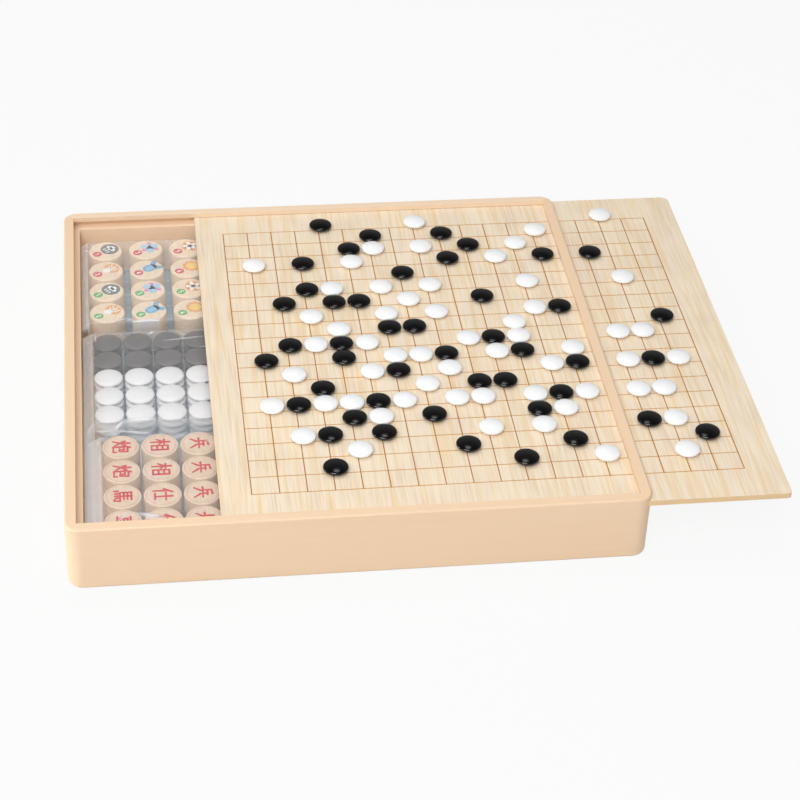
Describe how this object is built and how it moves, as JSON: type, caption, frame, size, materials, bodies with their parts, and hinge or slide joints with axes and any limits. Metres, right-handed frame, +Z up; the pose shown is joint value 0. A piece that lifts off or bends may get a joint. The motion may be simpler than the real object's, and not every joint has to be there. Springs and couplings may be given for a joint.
{
  "type": "board game box",
  "caption": "Wooden game box whose square line-grid board slides out through the right wall, with go stones on the board and film-packed playing pieces in the storage well.",
  "frame": {"origin": "middle of the box's underside", "axes": "+X the way the board draws out, +Y towards the box's back, +Z up"},
  "size_m": [0.4626, 0.368, 0.0496],
  "materials": {
    "box_wood": "smooth peach-toned clear coat",
    "base_wood": "plain sanded panel",
    "board_wood": "pale fine-grained veneer with printed orange-brown lines",
    "sheet_paper": "matt light blue print",
    "pack_film": "clear shrink film",
    "red_piece_wood": "sanded wood with red engraved marks",
    "black_piece_wood": "sanded wood with black engraved marks",
    "token_wood": "sanded wood with coloured prints",
    "white_stone": "satin white",
    "black_stone": "polished black"
  },
  "bodies": {
    "box": {"front_rail": "box_wood", "back_rail": "box_wood", "left_rail": "box_wood", "right_rail": "box_wood", "slot_bar": "box_wood", "base_panel": "base_wood", "game_sheet": "sheet_paper", "chess_film": "pack_film", "stone_film": "pack_film", "token_film": "pack_film", "red_soldiers": "red_piece_wood", "red_cannons": "red_piece_wood", "red_horses": "red_piece_wood", "red_chariots": "red_piece_wood", "red_elephants": "red_piece_wood", "red_advisors": "red_piece_wood", "red_general": "red_piece_wood", "black_soldiers": "black_piece_wood", "black_cannons": "black_piece_wood", "black_horses": "black_piece_wood", "black_chariots": "black_piece_wood", "black_elephants": "black_piece_wood", "black_advisors": "black_piece_wood", "black_general": "black_piece_wood", "cloud_tokens": "token_wood", "leaf_tokens": "token_wood", "drop_tokens": "token_wood", "fish_tokens": "token_wood", "star_tokens": "token_wood", "sun_tokens": "token_wood", "flower_tokens": "token_wood", "shell_tokens": "token_wood", "plain_draughts": "token_wood", "packed_white_stones": "white_stone", "packed_black_stones": "black_stone"},
    "board": {"game_board": "board_wood"},
    "inside_stones": {"white_stones_inside": "white_stone", "black_stones_inside": "black_stone"},
    "outside_stones": {"white_stones_outside": "white_stone", "black_stones_outside": "black_stone"}
  },
  "joints": [
    {"name": "board_slide", "type": "slide", "parent": "box", "child": "board", "axis": [1, 0, 0], "range_m": [-0.0916, 0]},
    {"name": "inside_stones_lift", "type": "slide", "parent": "board", "child": "inside_stones", "axis": [0, 0, 1], "range_m": [0, 0.03]},
    {"name": "outside_stones_lift", "type": "slide", "parent": "box", "child": "outside_stones", "axis": [0, 0, 1], "range_m": [0, 0.03]}
  ],
  "couplings": [
    {"joint": "outside_stones_lift", "follows": "board_slide", "ratio": -0.3275}
  ]
}
